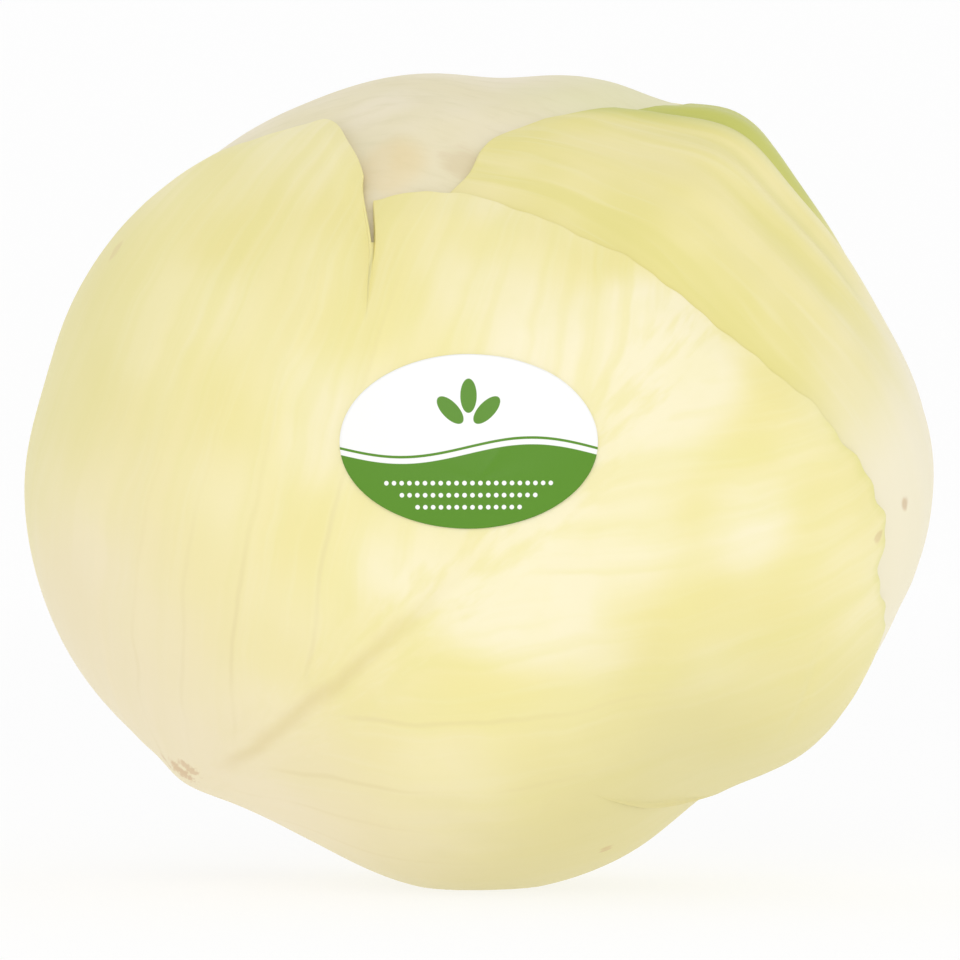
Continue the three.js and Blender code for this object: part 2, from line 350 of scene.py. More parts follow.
# How the leaves lie, from the heart outwards, in degrees. turn: the midrib's place around the stem.
# reach: from the stem to the leaf's middle. outline: (angle from the midrib, distance to the margin).
# slits: tears in from the margin (angle, half width, depth, lean of the mouth).
LEAVES = {
    "crown_leaf": {
        "turn": -105, "reach": 95, "slits": [],
        "outline": [(-166, 96), (-148, 87), (-125, 80), (-100, 78), (-75, 76), (-45, 80), (-15, 82),
                    (15, 80), (45, 74), (75, 72), (100, 76), (125, 80), (148, 87), (166, 96), (180, 96)],
    },
    "right_leaf": {
        "turn": 115, "reach": 120, "slits": [],
        "outline": [(-164, 121), (-146, 104), (-120, 80), (-90, 68), (-60, 64), (-35, 66), (-20, 73),
                    (-12, 82), (-6, 91), (0, 99), (8, 103), (16, 107), (30, 104), (50, 90), (75, 72),
                    (100, 68), (125, 82), (148, 104), (164, 121), (180, 121)],
    },
    "under_leaf": {
        "turn": 62, "reach": 66, "slits": [],
        "outline": [(-165, 66), (-150, 62), (-130, 60), (-100, 56), (-65, 52), (-30, 50), (0, 52),
                    (35, 50), (70, 54), (100, 57), (130, 60), (150, 62), (165, 66), (180, 66)],
    },
    "left_leaf": {
        "turn": -110, "reach": 48, "slits": [],
        "outline": [(-161, 48), (-148, 48), (-130, 45), (-100, 41), (-65, 38), (-40, 37), (-12, 40),
                    (15, 44), (45, 46), (75, 46), (105, 44), (135, 44), (150, 46), (161, 48), (180, 48)],
    },
    "back_leaf": {
        "turn": 188, "reach": 84, "slits": [(38, 1.8, 9, 0)],
        "outline": [(-166, 85), (-148, 76), (-135, 70), (-110, 62), (-80, 58), (-50, 62), (-20, 66),
                    (10, 68), (40, 65), (70, 60), (100, 58), (125, 62), (148, 76), (166, 85), (180, 85)],
    },
    "front_leaf": {
        "turn": 8, "reach": 90, "slits": [(51.8, 0.7, 9.5, 2.5), (-90.5, 1.0, 21, 0)],
        "outline": [(-166, 90), (-155, 89), (-140, 90), (-122, 91), (-105, 83), (-90, 73), (-76, 80),
                    (-62, 85), (-55, 79), (-46, 75), (-40, 76), (-33, 73), (-22, 69.5), (-6, 64.5),
                    (10, 63), (26, 63.5), (37, 64.9), (46, 64.4), (51.2, 63), (52.5, 66.8), (54.2, 70.8),
                    (56.5, 75), (60.5, 81.6), (63.5, 84.6), (69.5, 86), (76, 87.5), (87, 92), (98, 89),
                    (112, 87), (130, 89), (150, 88), (166, 90), (180, 90)],
    },
}
for leaf in LEAVES.values():
    outward = np.cos(np.radians(leaf["turn"])) * FRONT + np.sin(np.radians(leaf["turn"])) * SIDE
    reach_angle = np.radians(leaf["reach"])
    leaf["middle"] = np.cos(reach_angle) * STEM + np.sin(reach_angle) * outward
    leaf["along"] = np.cos(reach_angle) * outward - np.sin(reach_angle) * STEM
    leaf["across"] = np.cross(leaf["middle"], leaf["along"])


def margin_at(leaf, angle):
    """Distance from the leaf's middle to its smooth margin: cubic Hermite curves through the
    outline, each knot's slope taken from its two neighbours, closed round the full turn. At the
    base the margin stops where it meets a circle around the stem, so the leaf clasps the stub."""
    outline = np.array(leaf["outline"], float)
    turn = np.array([360.0, 0.0])
    knots = np.concatenate([outline[-2:] - turn, outline, outline[:2] + turn])
    at, value = knots.T
    a = wrap(angle)
    a = np.where(a < outline[0, 0], a + 360.0, a)
    i = np.clip(np.searchsorted(at, a, side="right") - 1, 1, len(at) - 3)
    slope = np.zeros_like(value)
    slope[1:-1] = (value[2:] - value[:-2]) / (at[2:] - at[:-2])
    span = at[i + 1] - at[i]
    t = (a - at[i]) / span
    margin = (value[i] * (2 * t**3 - 3 * t**2 + 1) + slope[i] * span * (t**3 - 2 * t**2 + t)
              + value[i + 1] * (3 * t**2 - 2 * t**3) + slope[i + 1] * span * (t**3 - t**2))
    to_stem = np.radians(leaf["reach"])
    level = np.cos(to_stem)
    slant = -np.sin(to_stem) * np.cos(np.radians(angle))
    meets = np.cos(np.radians(CLASP_ANGLE)) / np.hypot(level, slant)
    clasp = np.degrees(np.arctan2(slant, level) - np.arccos(np.minimum(meets, 1.0)))
    return np.where((meets < 1) & (slant > 0), np.minimum(margin, clasp), margin)


def cover(leaf, d):
    """1 where the leaf covers a direction, easing to 0 past its margin."""
    angle = np.degrees(np.arctan2(d @ leaf["across"], d @ leaf["along"]))
    past = angle_to(d, leaf["middle"]) - margin_at(leaf, angle)
    return 1 - ease(past, 0.0, TUCK_WIDTH)


def pressed_in(first, d):
    """How far the leaves from number first outwards press in what is below them, in mm, and how
    openly it shows between them, 0 to 1."""
    depth = np.zeros(d.shape[:-1])
    open_share = np.ones(d.shape[:-1])
    for upper in list(LEAVES.values())[first:]:
        covered = cover(upper, d)
        depth = depth + LAYER_STEP * covered
        open_share = open_share * (1 - covered)
    return depth, open_share


def heart_surface(rings, sectors):
    """Rings from the crown to the stem; each point is the head radius less all the wrapper leaves,
    and near the stem no further out than a steep socket that clears the stub."""
    away, turn = np.meshgrid(np.linspace(0, 180, rings + 1)[1:-1],
                             np.arange(sectors) * 360.0 / sectors, indexing="ij")

    def place(d):
        depth, _ = pressed_in(0, d)
        socket = SOCKET_FLOOR + SOCKET_SLOPE * np.maximum(0, angle_to(d, STEM) - SOCKET_ANGLE)
        return to_place(d, np.minimum(head_radius(d) - depth - LEAF_THICKNESS - HEART_AIR, socket))

    d = polar_directions(CROWN, FRONT, SIDE, turn, away)
    return place(d), [place(CROWN[None])[0], place(STEM[None])[0]]


heart_leaf, wire = new_material("heart_leaf")
where = wire.node("ShaderNodeTexCoord", {}, {}, out="Object")
veil = where.noise(0.02, 3.0)
tone = veil.ease(0.35, 0.7).mix(shade(240, 234, 190), shade(232, 228, 168))
grain = where.noise(0.0012, 3.0)
bump = wire.node("ShaderNodeBump", {}, {"Strength": 0.25, "Distance": 0.0003, "Height": grain})
finish_material(wire, wire.node("ShaderNodeBsdfPrincipled", {}, {
    "Base Color": tone, "Roughness": 0.45, "Normal": bump}))
heart_points, heart_ends = heart_surface(rings=150, sectors=200)
heart = place_object("heart_ball", grid_mesh("heart_ball", heart_points, heart_ends), heart_leaf)
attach(heart, "root")
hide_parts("heart")


# ---- Stem stub ---------------------------------------------------------------------------------
# The stump that carries every leaf: solid, woody-skinned and cut across with a knife, with a paler
# pith inside a darker ring where the sap has dried. It fills the hollow of the heart.

# Sizes in mm; lengths are from the middle of the head along the stem.
STUB_RADIUS = 13.0
STUB_ENDS = (56.6, 71.6)
STUB_FLARE = 1.5
FLARE_AT = 65.4
FLARE_SPREAD = 2.6
FLUTE_DEPTH = 0.035
CUT_DISH = 1.1
SIDE_RINGS = 26
CUT_RINGS = 34


def stub_surface(sectors):
    """A profile carried round the stem: out along the inner end, along a slightly fluted side that
    flares where the leaves leave it, over the knife edge and in across the cut, which dishes as it
    dries. Its two ends are returned."""
    low, high = STUB_ENDS
    side = np.linspace(low + 1.0, high - 1.4, SIDE_RINGS)
    cut = np.linspace(0.96, 0.04, CUT_RINGS)
    share = np.concatenate([[0.3, 0.7, 0.95], np.ones(SIDE_RINGS), [0.99], cut])
    length = np.concatenate([[low, low, low + 0.2], side, [high - 0.6],
                             high - 0.15 - CUT_DISH * (1 - cut) ** 1.5])
    turn = np.radians(np.arange(sectors) * 360.0 / sectors)
    share, turn = np.meshgrid(share, turn, indexing="ij")
    length = np.broadcast_to(length[:, None], share.shape)
    on_cut = ease(length, high - 1.5, high - 0.6) * (share < 0.97)
    flutes = 1 - FLUTE_DEPTH * np.square(np.sin(3.5 * turn + 0.4)) * (1 - on_cut)
    flare = STUB_FLARE / STUB_RADIUS * bell((length - FLARE_AT) / FLARE_SPREAD) * (share > 0.98)
    rough = 0.10 * np.sin(9 * turn + 14 * share) * np.sin(21 * share + 2 * turn) * on_cut
    across = np.cos(turn)[..., None] * FRONT + np.sin(turn)[..., None] * SIDE
    middle = (length + rough)[..., None] * STEM
    points = (middle + across * (STUB_RADIUS * share * (flutes + flare))[..., None]) * MM + HEAD_MIDDLE
    ends = [STEM * (low * MM) + HEAD_MIDDLE, STEM * ((high - 0.15 - CUT_DISH) * MM) + HEAD_MIDDLE]
    return points, ends


cut_stem, wire = new_material("cut_stem")
where = wire.node("ShaderNodeTexCoord", {}, {}, out="Object")
axis_foot = tuple(float(value) for value in HEAD_MIDDLE)
from_foot = wire.node("ShaderNodeVectorMath", {"operation": "SUBTRACT"}, {0: where, 1: axis_foot})
stem_axis = tuple(float(value) for value in STEM)
along = wire.node("ShaderNodeVectorMath", {"operation": "DOT_PRODUCT"}, {0: from_foot, 1: stem_axis}, out=1)
reach = wire.node("ShaderNodeVectorMath", {"operation": "LENGTH"}, {0: from_foot}, out=1)
radial = (reach * reach - along * along).maths("MAXIMUM", 0.0).maths("SQRT") * 1000.0
speckle = where.noise(0.0009, 4.0, 0.7)
blotch = where.noise(0.006, 3.0)
# Pith, then woody flesh, then the dried ring from about 10 mm out.
pith = (radial + blotch * 3.0).ease(4.0, 9.0).mix(shade(226, 214, 170), shade(206, 188, 134))
ring = (radial + blotch * 2.0).ease(10.2, 12.4).mix(pith, shade(150, 118, 74))
flecked = speckle.ease(0.56, 0.72).mix(ring, shade(172, 142, 92))
stem_bump = wire.node("ShaderNodeBump", {}, {
    "Strength": 0.6, "Distance": 0.0006, "Height": speckle + blotch * 0.5})
finish_material(wire, wire.node("ShaderNodeBsdfPrincipled", {}, {
    "Base Color": flecked, "Roughness": 0.7, "Normal": stem_bump}))
stub_points, stub_ends = stub_surface(sectors=180)
stub = place_object("cut_stump", grid_mesh("cut_stump", stub_points, stub_ends), cut_stem)
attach(stub, "root")
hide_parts("stem_stub")


# ---- Crown leaf --------------------------------------------------------------------------------
# The first of six wrapper leaves: a pale, almost white leaf that comes up behind the head from the
# stem and folds over the top. It is tucked under the leaves either side of it.

# Sizes in mm: thickness at the margin, and the air that the margin leaves above the leaf below.
MARGIN_THICKNESS = 0.42
LAYER_AIR = 0.10
MM_PER_DEGREE = 72.0 * np.pi / 180.0
# Degrees aside of a slit over which its lean fades.
LEAN_WIDTH = 9.0
# Rings underneath a leaf, and the powers that crowd the rings of both faces towards the margin.
UNDER_RINGS = 24
FACE_CROWDING = 1.25
UNDER_CROWDING = 1.6


def distance_at(leaf, angle, share):
    """Distance from the middle at a share of the way to the margin. A slit cuts the margin back in
    a V and draws the rings in over twice its depth."""
    margin = margin_at(leaf, angle)
    distance = share * margin
    for at, half_width, cut, _ in leaf["slits"]:
        depth = cut * np.maximum(0, 1 - np.abs(wrap(angle - at)) / half_width)
        distance = distance - depth * np.maximum(0, 1 - (1 - share) * margin / (2 * cut))
    return distance


def leaned(leaf, angle, distance):
    """The angle, turned near each slit by more towards its mouth, so that the slit leans over."""
    turned = angle
    for at, _, cut, lean in leaf["slits"]:
        foot = margin_at(leaf, np.full_like(angle, at)) - cut
        outwards = ease((distance - foot) / cut, -0.3, 1.2)
        turned = turned + lean * bell(wrap(angle - at) / LEAN_WIDTH) * outwards
    return turned


def leaf_surface(name, rings, sectors, relief, lift, frill):
    """One leaf as a closed skin of rings: out over its face from the middle to the margin, round
    the thin margin, and back in underneath. Height from the middle of the head is the head radius,
    less the press of the leaves above, plus relief (face only) and lift (both faces), where relief
    and lift are functions of (along, across, rim, angle), in mm except angle in degrees, and frill
    of the angle moves the margin in or out. Near the margin the leaf thins and lies down. Returns
    points, poles, and the values that the material follows."""
    leaf = LEAVES[name]
    above = list(LEAVES).index(name) + 1
    angles = np.arange(sectors) * 360.0 / sectors - 180.0
    for at, half_width, _, _ in leaf["slits"]:
        angles = angles[np.abs(wrap(angles - at)) > half_width + 0.4]
        angles = np.concatenate([angles, at + np.linspace(-half_width - 0.3, half_width + 0.3, 25)])
    angles = np.sort(wrap(angles))
    face = 1 - (1 - np.linspace(0, 1, rings + 1)[1:]) ** FACE_CROWDING
    under = 1 - (1 - np.linspace(0, 1, UNDER_RINGS + 1)[1:]) ** UNDER_CROWDING
    share = np.concatenate([face, [1.0], under[::-1]])
    side = np.concatenate([np.zeros(rings), [0.5], np.ones(UNDER_RINGS)])
    share, angle = np.meshgrid(share, angles, indexing="ij")
    side = np.broadcast_to(side[:, None], share.shape)

    def place(share, angle, side):
        inner = distance_at(leaf, angle, share)
        distance = inner + frill(angle) * share**6 + 0.12 * bell((side - 0.5) / 0.2)
        turned = leaned(leaf, angle, distance)
        d = polar_directions(leaf["middle"], leaf["along"], leaf["across"], turned, distance)
        along = (leaf["reach"] + distance * np.cos(np.radians(turned))) * MM_PER_DEGREE
        across = distance * np.sin(np.radians(turned)) * MM_PER_DEGREE
        rim = (distance_at(leaf, angle, np.ones_like(angle)) - inner) * MM_PER_DEGREE
        rim = np.maximum(rim, 0)
        depth, shown = pressed_in(above, d)
        thick = MARGIN_THICKNESS + (LEAF_THICKNESS - MARGIN_THICKNESS) * ease(rim, 0.0, 7.0)
        settle = (LAYER_STEP - LAYER_AIR - MARGIN_THICKNESS) * (1 - ease(rim, -2.0, 7.0))
        fold = relief(along, across, rim, angle) * shown
        radius = head_radius(d) - depth - settle + lift(along, across, rim, angle) * shown
        radius = radius + fold - thick * side - fold * ease(side, 0.5, 1.0)
        return to_place(d, radius), {"along": along, "across": across, "rim": rim, "fold": fold}

    zero = np.zeros(1)
    points, values = place(share, angle, side)
    top, top_values = place(zero, zero, zero)
    bottom, bottom_values = place(zero, zero, zero + 1)
    for key in values:
        values[key] = np.concatenate([values[key].ravel(), top_values[key], bottom_values[key]])
    return points, (top[0], bottom[0]), values


def make_leaf(name, node, surface, material):
    """The leaf's object: the skin, with its place along and across the leaf, its distance to the
    margin and the height of its folds carried as attributes."""
    points, poles, values = surface
    mesh = grid_mesh(name, points, poles)
    spot = np.stack([values["along"], values["across"], np.zeros_like(values["along"])], axis=-1)
    mesh.attributes.new("leaf_place", "FLOAT_VECTOR", "POINT").data.foreach_set(
        "vector", spot.astype(np.float32).ravel())
    for key in ("rim", "fold"):
        mesh.attributes.new(key, "FLOAT", "POINT").data.foreach_set("value", values[key].astype(np.float32))
    made = place_object(name, mesh, material)
    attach(made, "root")
    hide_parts(node)


def leaf_wires(name):
    """A new leaf material and its inputs: place on the leaf in mm, along, across, rim and fold."""
    material, wire = new_material(name)
    place = wire.node("ShaderNodeAttribute", {"attribute_name": "leaf_place"}, {}, out=1)
    along = wire.node("ShaderNodeSeparateXYZ", {}, {"Vector": place}, out=0)
    across = wire.node("ShaderNodeSeparateXYZ", {}, {"Vector": place}, out=1)
    rim = wire.node("ShaderNodeAttribute", {"attribute_name": "rim"}, {}, out=2)
    fold = wire.node("ShaderNodeAttribute", {"attribute_name": "fold"}, {}, out=2)
    return material, wire, place, along, across, rim, fold


def vector_of(wire, x, y, z):
    """Three wires or numbers joined into one vector."""
    return wire.node("ShaderNodeCombineXYZ", {}, {"X": x, "Y": y, "Z": z})


def blemish_and_highlight(place, spot, size, grain):
    """1 on a soft ragged patch of a given size at a spot on the leaf, both in mm, and 0 off it. It marks
    blemishes, and on the front leaf a painted highlight.
    """
    off = place.node("ShaderNodeVectorMath", {"operation": "SUBTRACT"}, {0: place, 1: (*spot, 0.0)})
    away = place.node("ShaderNodeVectorMath", {"operation": "LENGTH"}, {0: off}, out=1)
    return (away + (grain - 0.5) * size * 2.2).ease(size, size * 0.35)


def waxy_leaf(wire, colour, height, roughness):
    """The leaf surface: firm flesh under a satin wax bloom."""
    bump = wire.node("ShaderNodeBump", {}, {"Strength": 0.3, "Distance": 0.0004, "Height": height})
    finish_material(wire, wire.node("ShaderNodeBsdfPrincipled", {}, {
        "Base Color": colour, "Roughness": roughness, "Normal": bump, "IOR": 1.42}))


def flat(along, across, rim, angle):
    """No lift at all."""
    return np.zeros_like(along)


def base_rib(along, across):
    """The thick rib at a leaf's base, which widens and sinks over its first 80 mm."""
    return 1.2 * bell(across / (4.0 + along / 12)) * (1 - ease(along, 25, 80))


def crown_relief(along, across, rim, angle):
    """Faint long ribs that fan from the base, a tenth or two of a millimetre high, a thick rib at
    the base itself, and one soft tuck beside the notch of the front leaf."""
    fan = across / (0.5 + along / 160)
    ribs = 0.12 * np.sin(fan / 4.3 + 0.6 * np.sin(along / 19)) + 0.07 * np.sin(fan / 2.1 + along / 31)
    tuck = -0.8 * bell((across + 52) / 5) * bell((along - 164) / 9)
    return ribs + base_rib(along, across) + tuck


def crown_frill(angle):
    """A margin that wanders in and out by under a degree."""
    return 0.5 * np.sin(np.radians(angle) * 9) + 0.3 * np.sin(np.radians(angle) * 23 + 1)


# Noise stretched by this runs along the leaf.
ALONG_LEAF = (0.3, 1.0, 1.0)
pale_leaf, wire, place, along, across, rim, fold = leaf_wires("pale_leaf")
drawn = place.stretch(ALONG_LEAF)
cloud = place.noise(26.0, 2.0)
grain = drawn.noise(3.2, 4.0, 0.6)
colour = cloud.ease(0.35, 0.68).mix(shade(240, 230, 201), shade(235, 225, 187))
colour = (grain.ease(0.45, 0.75) * 0.4).mix(colour, shade(223, 213, 172))
greener = along.ease(170.0, 190.0) * across.ease(-35.0, -8.0)
colour = (greener * 0.6).mix(colour, shade(227, 226, 176))
# Painted shade: a darker, warmer colour where the leaf sinks in, strongest in the tuck beside the notch.
colour = ((fold * -1.4).ease(0.0, 1.0) * 0.7).mix(colour, shade(231, 211, 160))
colour = (blemish_and_highlight(place, (177.0, -45.4), 6.0, grain) * 0.3).mix(colour, shade(206, 180, 138))
colour = (blemish_and_highlight(place, (164.0, -49.0), 9.0, cloud) * 0.4).mix(colour, shade(236, 214, 160))
waxy_leaf(wire, colour, grain + drawn.noise(0.9, 2.0) * 0.3, 0.42 + grain * 0.1)
make_leaf("crown_wrap", "crown_leaf",
          leaf_surface("crown_leaf", 90, 260, crown_relief, flat, crown_frill), pale_leaf)


# ---- Right leaf --------------------------------------------------------------------------------
# A yellow-green leaf that wraps the right side and closes over the top right. It was bent hard as
# it grew, so short pleats cross its shoulder, with greener flesh at the bend. In the pleats' creases
# its colour is darker and greener, partly greener flesh and partly painted shade, and on their
# crests it is paler as a painted highlight.

# Pleats across the leaf: place, spread and height, all in mm.
PLEATS = [
    (-27.0, 4.0, 0.35), (-20.0, 2.4, 0.55), (-15.2, 1.5, -1.15), (-10.0, 2.6, 0.85), (-3.6, 2.8, -0.6),
    (3.2, 3.0, 0.55), (9.5, 2.8, -0.4), (16.0, 3.2, 0.35), (23.5, 3.2, -0.3), (31.0, 3.6, 0.25),
]
# Past the shoulder, mm along the leaf, the pleats curve away by BEND times the distance squared.
SHOULDER = 207.0
BEND = 0.0032
# How far in from the margin a raised lip reaches, in mm.
LIP_WIDTH = 12


def right_relief(along, across, rim, angle):
    """The pleats, as humps and creases across the leaf that bend past the shoulder: tall in the
    25 mm either side of it, and nearly gone away from it, with a thick rib at the base."""
    line = across + BEND * np.square(np.maximum(along - SHOULDER, 0)) + 0.9 * np.sin(along / 17.0)
    tall = 0.13 + 0.87 * ease(along, 190, 216) * (1 - 0.8 * ease(along, 232, 256))
    pleats = sum(height * bell((line - at) / spread) for at, spread, height in PLEATS)
    ribs = 0.05 * np.sin(line / 1.25 + np.sin(along / 23)) * ease(along, 60, 120)
    return pleats * tall + ribs + base_rib(along, across)


def right_lift(along, across, rim, angle):
    """The margin over the top right stands up a little."""
    return 0.2 * bell((angle - 2) / 14) * (1 - ease(rim, 0, LIP_WIDTH))


def right_frill(angle):
    """A margin with small uneven waves."""
    return 0.45 * np.sin(np.radians(angle) * 11 + 0.7) + 0.25 * np.sin(np.radians(angle) * 29)


pleated_leaf, wire, place, along, across, rim, fold = leaf_wires("pleated_leaf")
bend = (along - SHOULDER).maths("MAXIMUM", 0.0)
wander = place.stretch(ALONG_LEAF).noise(12.0, 2.0)
line = across + bend * bend * BEND + wander * 7.0
run = vector_of(wire, along * 0.09, line, 0.0)
streak = run.noise(8.5, 2.0, 0.5)
fine = run.noise(2.6, 2.0)
cloud = place.noise(24.0, 2.0)
colour = cloud.ease(0.3, 0.7).mix(shade(240, 229, 168), shade(234, 224, 148))
colour = (streak.ease(0.42, 0.64) * 0.6).mix(colour, shade(229, 220, 138))
colour = (fine.ease(0.5, 0.8) * 0.2).mix(colour, shade(247, 240, 208))
# Greener flesh and painted shade: a darker, greener colour in the pleats' creases.
colour = ((fold * -1.0).ease(0.1, 1.0) * 0.7).mix(colour, shade(214, 209, 120))
# Painted highlight: a paler colour on the pleats' crests.
colour = (fold.ease(0.15, 0.8) * 0.35).mix(colour, shade(243, 236, 196))
shoulder_tip = (across + cloud * 5.0).ease(-7.0, -18.0) * along.ease(200.0, 216.0)
colour = (shoulder_tip * 0.8).mix(colour, shade(188, 194, 84))
lower = (along + cloud * 14.0).ease(226.0, 186.0)
colour = (lower * 0.88).mix(colour, shade(243, 235, 210))
colour = (blemish_and_highlight(place, (177.3, 23.7), 1.7, fine) * 0.55).mix(colour, shade(196, 160, 112))
waxy_leaf(wire, colour, streak * 0.6 + fine * 0.4, 0.40 + streak * 0.1)
make_leaf("right_wrap", "right_leaf",
          leaf_surface("right_leaf", 140, 340, right_relief, right_lift, right_frill), pleated_leaf)


# ---- Under leaf --------------------------------------------------------------------------------
# A small leaf low on the right that comes straight up from the stem beneath the outer leaves. Its
# ribs are thick and close where it leaves the stem.


def under_relief(along, across, rim, angle):
    """Ribs that spread from the base, tallest near it."""
    fan = across / (0.35 + along / 120)
    near = 1 - ease(along, 20, 70)
    return (0.15 + 0.5 * near) * np.sin(fan / 4.0 + 0.5) ** 3 + 0.07 * np.sin(fan / 1.9) + 0.8 * near


def plain_skin(name, cloud_size, light, deep, streak):
    """A leaf coloured light and deep in clouds, with paler streaks drawn out along it."""
    skin, wire, place, *_ = leaf_wires(name)
    grain = place.stretch(ALONG_LEAF).noise(4.0, 4.0, 0.6)
    colour = place.noise(cloud_size, 2.0).ease(0.35, 0.65).mix(light, deep)
    colour = (grain.ease(0.45, 0.7) * 0.5).mix(colour, streak)
    waxy_leaf(wire, colour, grain, 0.42 + grain * 0.1)
    return skin


under_skin = plain_skin("under_leaf", 20.0, shade(238, 230, 186), shade(230, 222, 160),
                        shade(243, 235, 204))
make_leaf("under_wrap", "under_leaf",
          leaf_surface("under_leaf", 70, 220, under_relief, flat, crown_frill), under_skin)


# ---- Left leaf ---------------------------------------------------------------------------------
# The counterpart high on the left: pale, stiff, and half hidden by the wrapper leaves either side,
# with a broad midrib that joins the stem stub.


def left_relief(along, across, rim, angle):
    """A broad midrib that flattens out, with low ribs leaving it."""
    midrib = 1.5 * bell(across / (3.5 + along / 20)) * (1 - ease(along, 30, 110))
    fan = across / (0.35 + along / 120)
    return midrib + 0.15 * np.sin(fan / 3.1 + 0.5) + 0.07 * np.sin(fan / 1.5)


left_skin = plain_skin("left_leaf", 22.0, shade(240, 232, 192), shade(232, 224, 170),
                       shade(244, 236, 206))
make_leaf("left_wrap", "left_leaf",
          leaf_surface("left_leaf", 70, 220, left_relief, flat, crown_frill), left_skin)


# ---- Back leaf ---------------------------------------------------------------------------------
# The wrapper leaf of the hidden side. Its midrib runs up the middle from the stem and side veins
# leave it in pairs; the flesh between them puffs out a little, and the far margin has a short tear.

# The side veins' slant and spacing, and the place of the tear's lip in degrees from the midrib.
BACK_SLANT = 1.05
BACK_VEIN_PITCH = 5.2
BACK_LIP = 32


def back_relief(along, across, rim, angle):
    """Midrib, side veins at a slant, and shallow puffs between them."""
    midrib = 1.5 * bell(across / (3.2 + along / 50)) * (1 - ease(along, 24, 130))
    branch = along - np.abs(across) * BACK_SLANT
    veins = 0.22 * np.sin(branch / BACK_VEIN_PITCH + 0.8 * np.sin(across / 15)) ** 4
    veins = veins * (1 - ease(np.abs(across), 45, 85)) * ease(np.abs(across), 1, 8)
    return midrib + veins + 0.10 * np.sin(across / 7.0 + along / 13.0)


def back_lift(along, across, rim, angle):
    """The margin beside the short tear stands up very slightly."""
    return 0.15 * bell(wrap(angle - BACK_LIP) / 9) * (1 - ease(rim, 0, LIP_WIDTH))


back_skin, wire, place, along, across, rim, fold = leaf_wires("back_leaf")
wide = across.maths("ABSOLUTE")
wander = place.noise(16.0, 2.0)
branch = along - wide * BACK_SLANT + wander * 9.0
run = vector_of(wire, branch, wide * 0.12, across.ease(-1.0, 1.0) * 30.0)
streak = run.noise(8.0, 3.0)
vein = (branch / BACK_VEIN_PITCH).maths("SINE").maths("ABSOLUTE").ease(0.86, 1.0) * wide.ease(80.0, 25.0)
midrib = (wide + wander * 2.0).ease(4.2, 1.6) * along.ease(150.0, 70.0)
cloud = place.noise(26.0, 2.0)
colour = cloud.ease(0.36, 0.64).mix(shade(241, 233, 186), shade(234, 226, 160))
colour = (streak.ease(0.46, 0.66) * 0.45).mix(colour, shade(229, 221, 146))
colour = (vein * 0.4).mix(colour, shade(244, 237, 206))
colour = (midrib * 0.6).mix(colour, shade(244, 238, 210))
colour = (along.ease(64.0, 20.0) * 0.7).mix(colour, shade(242, 232, 206))
waxy_leaf(wire, colour, streak * 0.6 + place.noise(1.6, 3.0) * 0.4, 0.42 + wander * 0.1)
make_leaf("back_wrap", "back_leaf",
          leaf_surface("back_leaf", 120, 300, back_relief, back_lift, right_frill), back_skin)


# ---- Front leaf --------------------------------------------------------------------------------
# The big wrapper leaf over the whole front: cream where its ribs run, yellow-green between them. It
# grew from the low left, tore at the top as the head swelled, and its thin right margin is ragged.

# Side veins leave the midrib at these places along it, in mm, slanting less below it than above.
SIDE_VEINS = [(20, 0.14), (36, 0.14), (53, 0.10), (70, 0.16), (93, 0.14), (112, 0.05)]
SLANT_ABOVE = 1.38
SLANT_BELOW = 1.05
# Brown spots: place along and across in mm, size in mm, strength.
BROWN_SPOTS = [((47.4, 3.8), 4.0, 0.6), ((53.1, 3.6), 2.6, 0.5), ((101.6, 95.3), 2.4, 0.2),
               ((181.7, -62.6), 1.6, 0.35), ((97.4, -66.4), 1.6, 0.4)]
# Angles from the midrib: the ragged margin, and the two tears.
RAGGED_AT = -46
TEAR_AT, SPLIT_AT = (slit[0] for slit in LEAVES["front_leaf"]["slits"])


def front_relief(along, across, rim, angle):
    """A proud rib at the base that sinks to a groove, side veins slanting off it both ways, and
    soft unevenness in the flesh between, with one long crease low on the right."""
    wide = np.abs(across)
    rib = 1.7 * bell(across / (3.5 + along / 26)) * (1 - ease(along, 24, 72))
    groove = -0.16 * bell((across - 0.8) / 1.2) * ease(along, 55, 72) * (1 - ease(along, 108, 140))
    branch = along - np.where(across > 0, SLANT_ABOVE, SLANT_BELOW) * wide
    branch = branch - 2.0 * np.sin(across / 11)
    veins = sum(height * bell((branch - at) / 1.7) for at, height in SIDE_VEINS)
    veins = veins * ease(wide, 1, 8) * (1 - ease(wide, 55, 95)) * np.where(across > 0, 1.0, 0.45)
    soft = 0.11 * np.sin(along / 9.0 + 0.7 * np.sin(across / 13)) * np.sin(across / 8.0 + 1.1)
    crease_at = 0.55 * (along - 146) - across - 72
    crease = -0.28 * bell(crease_at / 0.9) * bell((along - 148) / 9)
    return rib + groove + veins + soft + crease


def front_lift(along, across, rim, angle):
    """The lips of the two tears and the ragged right margin stand up off the leaf below."""
    past_tear = wrap(angle - TEAR_AT)
    top_lip = 1.5 * bell(np.maximum(past_tear - 1.2, 0) / 7) * (angle > TEAR_AT) * (1 - ease(rim, 0, 15))
    past_split = wrap(angle - SPLIT_AT)
    low_lip = bell(np.maximum(past_split - 1.0, 0) / 8) * (angle > SPLIT_AT) * (angle < -40)
    right = 0.3 * bell(wrap(angle - RAGGED_AT) / 12) * (1 - ease(rim, 0, 10))
    return top_lip + low_lip * (1 - ease(rim, 0, 22)) + right


def front_frill(angle):
    """Fine uneven nicks, strongest along the ragged right margin."""
    ragged = bell(wrap(angle - RAGGED_AT) / 14)
    nicks = 0.6 * np.sin(np.radians(angle) * 31) + 0.4 * np.sin(np.radians(angle) * 73 + 2)
    return (0.25 + 0.9 * ragged) * nicks


